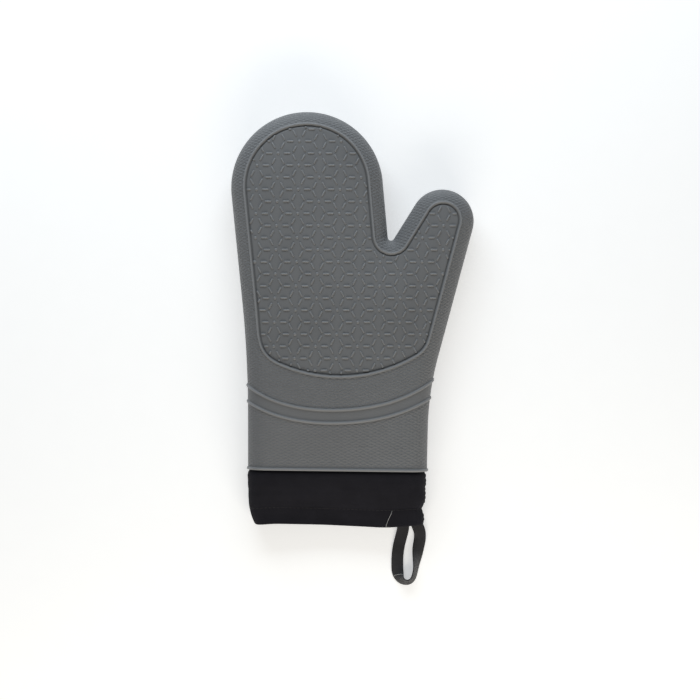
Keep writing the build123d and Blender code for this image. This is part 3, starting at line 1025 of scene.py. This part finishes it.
class MITT_OT_lining(bpy.types.Operator):
    """Makes the padded, quilted lining bag in two halves, with its quilting and edge stitches"""
    bl_idname = "mitt.lining"
    bl_label = "Quilted lining"

    def execute(self, context):
        colour = context.scene.mitt_colours.lining
        cloth = cached("lining_cotton", woven_material, colour, 0.8, 0.8)
        thread = sewing_thread()
        back_of_cloth = 2.5 * MM
        stitch = capsule(4.2 * MM, 0.26 * MM)
        for name, side in (("palm", 1), ("back", -1)):
            bm = plan_mesh(LINING_START, LINING_SPACING, False)
            plan = flat_places(bm)
            inset = lining_inset(plan)
            places, unrolled = skin(plan, -inset, side)
            bm.verts.index_update()
            store_uv(bm, unrolled)
            set_heights(bm, places)
            bmesh.ops.recalc_face_normals(bm, faces=bm.faces)
            if sum(f.normal.z for f in bm.faces) * side < 0:
                bmesh.ops.reverse_faces(bm, faces=bm.faces)
            piece = finish_mesh(bm, "lining_" + name, "mitt", cloth,
                                ["lining_outer_" + name, "wadding_" + name, "lining_inner_" + name])
            group = piece.vertex_groups.new(name="wadding")
            most = float(inset.max()) - back_of_cloth
            for index, amount in enumerate(inset):
                group.add([index], (float(amount) - back_of_cloth) / most, "REPLACE")
            thicken(piece, most, 1.0, "wadding")
            self.quilt(name, side, stitch, thread)
        self.edge(capsule(3.4 * MM, 0.26 * MM), thread)
        return {"FINISHED"}

    def quilt(self, name, side, stitch, thread):
        """Rows of stitches in the valleys of the quilting."""
        spots, turns = [], []
        for angle, distance in quilt_rows():
            for step in range(-30, 31):
                along = step * 7 * MM
                spots.append((QUILT_MIDDLE[0] + math.cos(angle) * along - math.sin(angle) * distance,
                              QUILT_MIDDLE[1] + math.sin(angle) * along + math.cos(angle) * distance))
                turns.append(angle)
        spots, turns = np.array(spots), np.array(turns)
        clear = inside(spots, EDGE) & (spots[:, 1] > LINING_START + 4 * MM)
        clear &= nearest(spots, EDGE)[0] > sizes().shoulder + 3 * MM
        spots, turns = spots[clear], turns[clear]
        places = skin(spots, -lining_inset(spots) - 0.12 * MM, side)[0]
        bm = bmesh.new()
        for place, turn in zip(places, turns):
            sew(bm, stitch, Vector(place), Vector((math.cos(turn), math.sin(turn), 0)), Vector((0, 0, -side)))
        finish_mesh(bm, "quilting_stitches_" + name, "mitt", thread, ["quilting_" + name])

    def edge(self, stitch, thread):
        """The seam that joins the halves, just inside the rim."""
        line = offset_line(silhouette(7 * MM), 6.6 * MM)
        bm = bmesh.new()
        for before, here, after in zip(line, line[1:], line[2:]):
            if here[1] > LINING_START + 3 * MM:
                way = Vector((*(after - before), 0))
                sew(bm, stitch, Vector((*here, 0)), way, Vector((0, 0, 1)).cross(way).normalized())
        finish_mesh(bm, "lining_edge_stitches", "mitt", thread, ["lining_edge_stitching"])


# The loop's middle line in plan and height over the floor, in millimetres, with its turn on to its edge
# in degrees between them.
LOOP_PATH = (
    (52.6, -34.0, 0, 3.6), (52.7, -42.0, 0, 3.4), (52.7, -48.0, 0, 2.6), (51.2, -54.8, 1, 1.7),
    (49.4, -62.0, 2, 1.2), (48.3, -70.0, 3, 1.2), (48.1, -77.0, 4, 1.3), (48.4, -83.0, 14, 2.0),
    (49.9, -88.0, 44, 3.9), (53.2, -90.8, 58, 4.7), (57.4, -91.0, 62, 4.9), (60.6, -88.2, 65, 4.9),
    (62.2, -83.5, 66, 4.8), (63.1, -78.5, 62, 4.6), (63.9, -72.0, 44, 3.8), (64.9, -64.0, 14, 2.4),
    (66.2, -56.5, -4, 2.2), (66.0, -50.5, 0, 2.8), (64.2, -45.5, 0, 3.2), (62.6, -40.0, 0, 3.5),
    (61.9, -34.0, 0, 3.6),
)


def loop_line(count):
    """The loop's path, evenly read off one smooth curve through its points."""
    points = np.array(LOOP_PATH, float)
    fine = []
    padded = np.vstack((2 * points[0] - points[1], points, 2 * points[-1] - points[-2]))
    for p0, p1, p2, p3 in zip(padded, padded[1:], padded[2:], padded[3:]):
        for t in np.linspace(0, 1, 16, endpoint=False):
            fine.append(0.5 * (2 * p1 + (p2 - p0) * t + (2 * p0 - 5 * p1 + 4 * p2 - p3) * t ** 2
                               + (3 * p1 - p0 - 3 * p2 + p3) * t ** 3))
    fine = np.array(fine + [points[-1]])
    lengths = run_lengths(fine[:, :2])
    places = np.linspace(0, lengths[-1], count)
    return np.column_stack([np.interp(places, lengths, fine[:, i]) for i in range(4)]), lengths[-1] * MM


def tape_point(line, row, across, lift=0.0):
    """A point of the tape: its row along the loop, its share across the tape and how far it stands off."""
    x, y, tilt, height = line[row]
    along = line[min(row + 1, len(line) - 1), :2] - line[max(row - 1, 0), :2]
    outward = Vector((along[1], -along[0], 0)).normalized()
    tilt = math.radians(tilt)
    way = outward * math.cos(tilt) + Vector((0, 0, -1)) * math.sin(tilt)
    out = outward * math.sin(tilt) + Vector((0, 0, 1)) * math.cos(tilt)
    return Vector((x * MM, y * MM, FLOOR + height * MM)) + way * across * sizes().tape + out * lift


class MITT_OT_loop(bpy.types.Operator):
    """Makes the hanging loop: one tape, folded and twisted, that swings about the cuff's hem"""
    bl_idname = "mitt.loop"
    bl_label = "Hanging loop"

    def execute(self, context):
        rows, thickness = 150, 1.1 * MM
        line, length = loop_line(rows + 1)
        bm = bmesh.new()
        bmesh.ops.create_grid(bm, x_segments=10, y_segments=rows, size=0.5)
        bm.verts.index_update()
        unrolled = {}
        for vert in bm.verts:
            across, row = vert.co.x, round((vert.co.y + 0.5) * rows)
            unrolled[vert.index] = (across * sizes().tape, row / rows * length)
            vert.co = tape_point(line, row, across)
        store_uv(bm, unrolled)
        bmesh.ops.recalc_face_normals(bm, faces=bm.faces)
        colour = context.scene.mitt_colours.tape
        material = cached("loop_tape", woven_material, colour, 0.5, 0.9, 0.3, 0.22)
        piece = finish_mesh(bm, "hanging_loop_tape", None, material,
                            ["hanging_loop", "loop_sewn_ends"])
        thicken(piece, thickness, 0.0)
        edge = piece.modifiers.new("edge", "BEVEL")
        edge.width = 0.3 * MM
        edge.segments = 2
        edge.limit_method = "ANGLE"
        swing = next(j for j in frame["joints"] if j["name"] == "loop_swing")["pos_m"]
        start = (swing[0], swing[1] + 1.2 * MM, swing[2])
        end = (swing[0], swing[1] - 1.6 * MM, swing[2])
        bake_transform(piece, "mitt", "loop", start=start, end=end)
        fold = next(row for row in range(rows) if line[row][1] < -85.0)
        points = [tape_point(line, fold + round(4 * share ** 2), share, thickness / 2 + 0.1 * MM)
                  for share in np.linspace(-0.52, 0.52, 11)]
        finish_mesh(thread_run(points, 0.19 * MM), "loose_thread_on_loop", "loop", pale_thread())
        return {"FINISHED"}


class MITT_OT_finishes(bpy.types.Operator):
    """Gives the hidden CAD parts their finishes"""
    bl_idname = "mitt.finishes"
    bl_label = "Finishes"

    def execute(self, context):
        thread = sewing_thread()
        bond = cached("adhesive", plain_silicone_material, 1.15)
        finishes = {"hem_bond": bond, "lining_join_stitching": thread, "loop_bartacks": thread}
        for name, material in finishes.items():
            slots = frame["nodes"][name].data.materials
            slots.clear()
            slots.append(material)
        return {"FINISHED"}


# ----------------------------------------------------------------------- stage
def softbox(name, place, size, power, colour):
    """A large soft light that faces the mitt."""
    light = bpy.data.lights.new(name, "AREA")
    light.shape = "RECTANGLE"
    light.size, light.size_y = size
    light.energy = power
    light.color = colour
    lamp = bpy.data.objects.new(name, light)
    bpy.context.scene.collection.objects.link(lamp)
    lamp.location = place
    lamp.rotation_euler = (Vector((0, 0, 0.01)) - Vector(place)).to_track_quat("-Z", "Y").to_euler()


class MITT_OT_stage(bpy.types.Operator):
    """Lays the pale floor, two soft lights and the camera straight above"""
    bl_idname = "mitt.stage"
    bl_label = "Stage"

    def execute(self, context):
        scene = context.scene
        camera = bpy.data.objects.new("camera", bpy.data.cameras.new("camera"))
        scene.collection.objects.link(camera)
        camera.data.lens = 85
        camera.data.sensor_width = 36
        height = VIEW_WIDTH * camera.data.lens / camera.data.sensor_width
        camera.location = (ORIGIN.x + VIEW_MIDDLE[0], ORIGIN.y + VIEW_MIDDLE[1], ORIGIN.z + height)
        camera.data.clip_end = 20
        scene.camera = camera
        world = bpy.data.worlds.new("studio")
        scene.world = world
        world.use_nodes = True
        sky = world.node_tree.nodes.get("Background")
        sky.inputs[0].default_value = (1.0, 1.0, 1.0, 1)
        sky.inputs[1].default_value = 0.15
        scene.view_settings.view_transform = "Standard"
        softbox("softbox_fingers", (-0.12, 0.85, 0.50), (1.0, 0.45), 6.2, (0.84, 0.93, 1.0))
        softbox("softbox_cuff", (0.10, -0.80, 0.40), (1.0, 0.40), 5.3, (1.0, 0.95, 0.85))
        bm = bmesh.new()
        bmesh.ops.create_grid(bm, x_segments=1, y_segments=1, size=4.0)
        mesh = bpy.data.meshes.new("floor")
        bm.to_mesh(mesh)
        bm.free()
        floor = bpy.data.objects.new("floor", mesh)
        scene.collection.objects.link(floor)
        m = Shader("paper")
        fibre = m.noise(m.place(), 60.0, 4.0)
        m.main.inputs["Emission Strength"].default_value = 0.42
        tone = m.mix(fibre, (0.90, 0.90, 0.90, 1), (0.93, 0.93, 0.93, 1))
        m.finish(Base_Color=tone, Roughness=0.8, Emission_Color=(1.0, 1.0, 1.0, 1.0))
        mesh.materials.append(m.material)
        return {"FINISHED"}


class MITT_PT_panel(bpy.types.Panel):
    """Lists the mitt's pieces"""
    bl_idname = "MITT_PT_panel"
    bl_label = "Oven mitt"
    bl_space_type = "VIEW_3D"
    bl_region_type = "UI"
    bl_category = "Mitt"

    def draw(self, context):
        for operator in OPERATORS:
            self.layout.operator(operator.bl_idname)
        for group in (context.scene.mitt_sizes, context.scene.mitt_colours):
            for name in group.bl_rna.properties.keys():
                if name not in ("rna_type", "name"):
                    self.layout.prop(group, name)


OPERATORS = (MITT_OT_stage, MITT_OT_shell, MITT_OT_relief, MITT_OT_cuff, MITT_OT_stitches, MITT_OT_lining,
             MITT_OT_loop, MITT_OT_finishes)
CLASSES = (MittSizes, MittColours) + OPERATORS + (MITT_PT_panel,)


def register():
    """Adds the classes and the scene's settings."""
    for cls in CLASSES:
        bpy.utils.register_class(cls)
    bpy.types.Scene.mitt_sizes = bpy.props.PointerProperty(type=MittSizes)
    bpy.types.Scene.mitt_colours = bpy.props.PointerProperty(type=MittColours)


def unregister():
    """Takes the classes and settings away again."""
    del bpy.types.Scene.mitt_sizes, bpy.types.Scene.mitt_colours
    for cls in reversed(CLASSES):
        bpy.utils.unregister_class(cls)


def main():
    """Makes every piece."""
    register()
    for operator in OPERATORS:
        group, name = operator.bl_idname.split(".")
        getattr(getattr(bpy.ops, group), name)()


if __name__ == "__main__":
    main()
